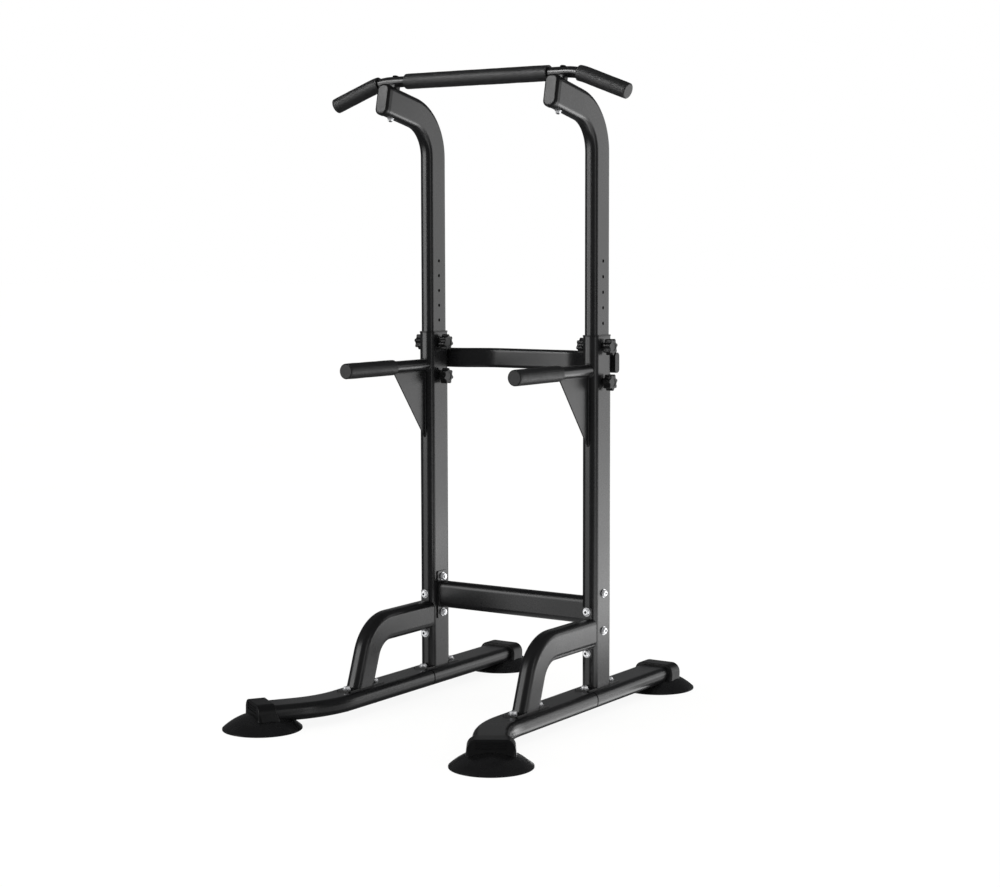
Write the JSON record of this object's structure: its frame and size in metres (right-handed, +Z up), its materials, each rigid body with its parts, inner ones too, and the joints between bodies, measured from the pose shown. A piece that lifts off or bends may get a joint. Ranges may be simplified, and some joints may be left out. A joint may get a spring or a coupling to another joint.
{
  "type": "power tower",
  "caption": "Free-standing pull-up and dip station: two telescoping uprights with a bent bar, dip handles, rear brace, struts and suction feet.",
  "frame": {"origin": "on the floor, at the centre of the footprint's bounding box", "axes": "+X to the right seen from the front (the tower is mirror-symmetric in X), -Y to the front where the dip handles point, +Z up"},
  "size_m": [1.023, 1.309, 1.8706],
  "materials": {
    "powder_coat": "satin",
    "foam": "matte",
    "black_plastic": "satin",
    "knob_plastic": "satin",
    "cup_rubber": "satin",
    "zinc_steel": "polished"
  },
  "bodies": {
    "base_frame": {"base_bolts": "zinc_steel", "base_joiners": "powder_coat", "base_tube_front_left": "powder_coat", "base_tube_front_right": "powder_coat", "base_tube_rear_left": "powder_coat", "base_tube_rear_right": "powder_coat", "brace_bolts": "zinc_steel", "brace_plugs": "black_plastic", "crossbar": "powder_coat", "crossbar_bolts": "zinc_steel", "cup_screws": "zinc_steel", "dip_grip_left": "foam", "dip_grip_right": "foam", "dip_gusset_left": "powder_coat", "dip_gusset_right": "powder_coat", "dip_handle_left": "powder_coat", "dip_handle_plugs": "black_plastic", "dip_handle_right": "powder_coat", "foot_cap_front_left": "black_plastic", "foot_cap_front_right": "black_plastic", "foot_cap_rear_left": "black_plastic", "foot_cap_rear_right": "black_plastic", "frame_nuts": "zinc_steel", "frame_washers": "zinc_steel", "guide_bushing_left": "black_plastic", "guide_bushing_right": "black_plastic", "knob_bosses": "powder_coat", "rear_brace": "powder_coat", "strut_bolts": "zinc_steel", "strut_left": "powder_coat", "strut_right": "powder_coat", "suction_cup_front_left": "cup_rubber", "suction_cup_front_right": "cup_rubber", "suction_cup_rear_left": "cup_rubber", "suction_cup_rear_right": "cup_rubber", "upright_left": "powder_coat", "upright_right": "powder_coat"},
    "upper_frame": {"bar_bolts": "powder_coat", "bar_nuts": "zinc_steel", "bar_plugs": "black_plastic", "bar_saddles": "black_plastic", "bar_washers": "zinc_steel", "centre_grip": "foam", "pull_up_bar": "powder_coat", "side_grip_left": "foam", "side_grip_right": "foam", "upper_end_cap_left": "black_plastic", "upper_end_cap_right": "black_plastic", "upper_tube_left": "powder_coat", "upper_tube_right": "powder_coat"},
    "knob_lower_inner_left_body": {"knob_lower_inner_left": "knob_plastic"},
    "knob_lower_inner_right_body": {"knob_lower_inner_right": "knob_plastic"},
    "knob_lower_outer_left_body": {"knob_lower_outer_left": "knob_plastic"},
    "knob_lower_outer_right_body": {"knob_lower_outer_right": "knob_plastic"},
    "knob_upper_inner_left_body": {"knob_upper_inner_left": "knob_plastic"},
    "knob_upper_inner_right_body": {"knob_upper_inner_right": "knob_plastic"},
    "knob_upper_outer_left_body": {"knob_upper_outer_left": "knob_plastic"},
    "knob_upper_outer_right_body": {"knob_upper_outer_right": "knob_plastic"}
  },
  "joints": [
    {"name": "height_slide", "type": "slide", "parent": "base_frame", "child": "upper_frame", "axis": [0, 0, 1], "range_m": [-0.2458, 0]},
    {"name": "knob_lower_inner_left_turn", "type": "hinge", "parent": "base_frame", "child": "knob_lower_inner_left_body", "pos_m": [-0.235, 0.1705, 0.9715], "axis": [1, 0, 0], "continuous": true},
    {"name": "knob_lower_inner_right_turn", "type": "hinge", "parent": "base_frame", "child": "knob_lower_inner_right_body", "pos_m": [0.235, 0.1705, 0.9715], "axis": [-1, 0, 0], "continuous": true},
    {"name": "knob_lower_outer_left_turn", "type": "hinge", "parent": "base_frame", "child": "knob_lower_outer_left_body", "pos_m": [-0.345, 0.1705, 0.9715], "axis": [-1, 0, 0], "continuous": true},
    {"name": "knob_lower_outer_right_turn", "type": "hinge", "parent": "base_frame", "child": "knob_lower_outer_right_body", "pos_m": [0.345, 0.1705, 0.9715], "axis": [1, 0, 0], "continuous": true},
    {"name": "knob_upper_inner_left_turn", "type": "hinge", "parent": "base_frame", "child": "knob_upper_inner_left_body", "pos_m": [-0.235, 0.1705, 1.0745], "axis": [1, 0, 0], "continuous": true},
    {"name": "knob_upper_inner_right_turn", "type": "hinge", "parent": "base_frame", "child": "knob_upper_inner_right_body", "pos_m": [0.235, 0.1705, 1.0745], "axis": [-1, 0, 0], "continuous": true},
    {"name": "knob_upper_outer_left_turn", "type": "hinge", "parent": "base_frame", "child": "knob_upper_outer_left_body", "pos_m": [-0.345, 0.1705, 1.0745], "axis": [-1, 0, 0], "continuous": true},
    {"name": "knob_upper_outer_right_turn", "type": "hinge", "parent": "base_frame", "child": "knob_upper_outer_right_body", "pos_m": [0.345, 0.1705, 1.0745], "axis": [1, 0, 0], "continuous": true}
  ]
}
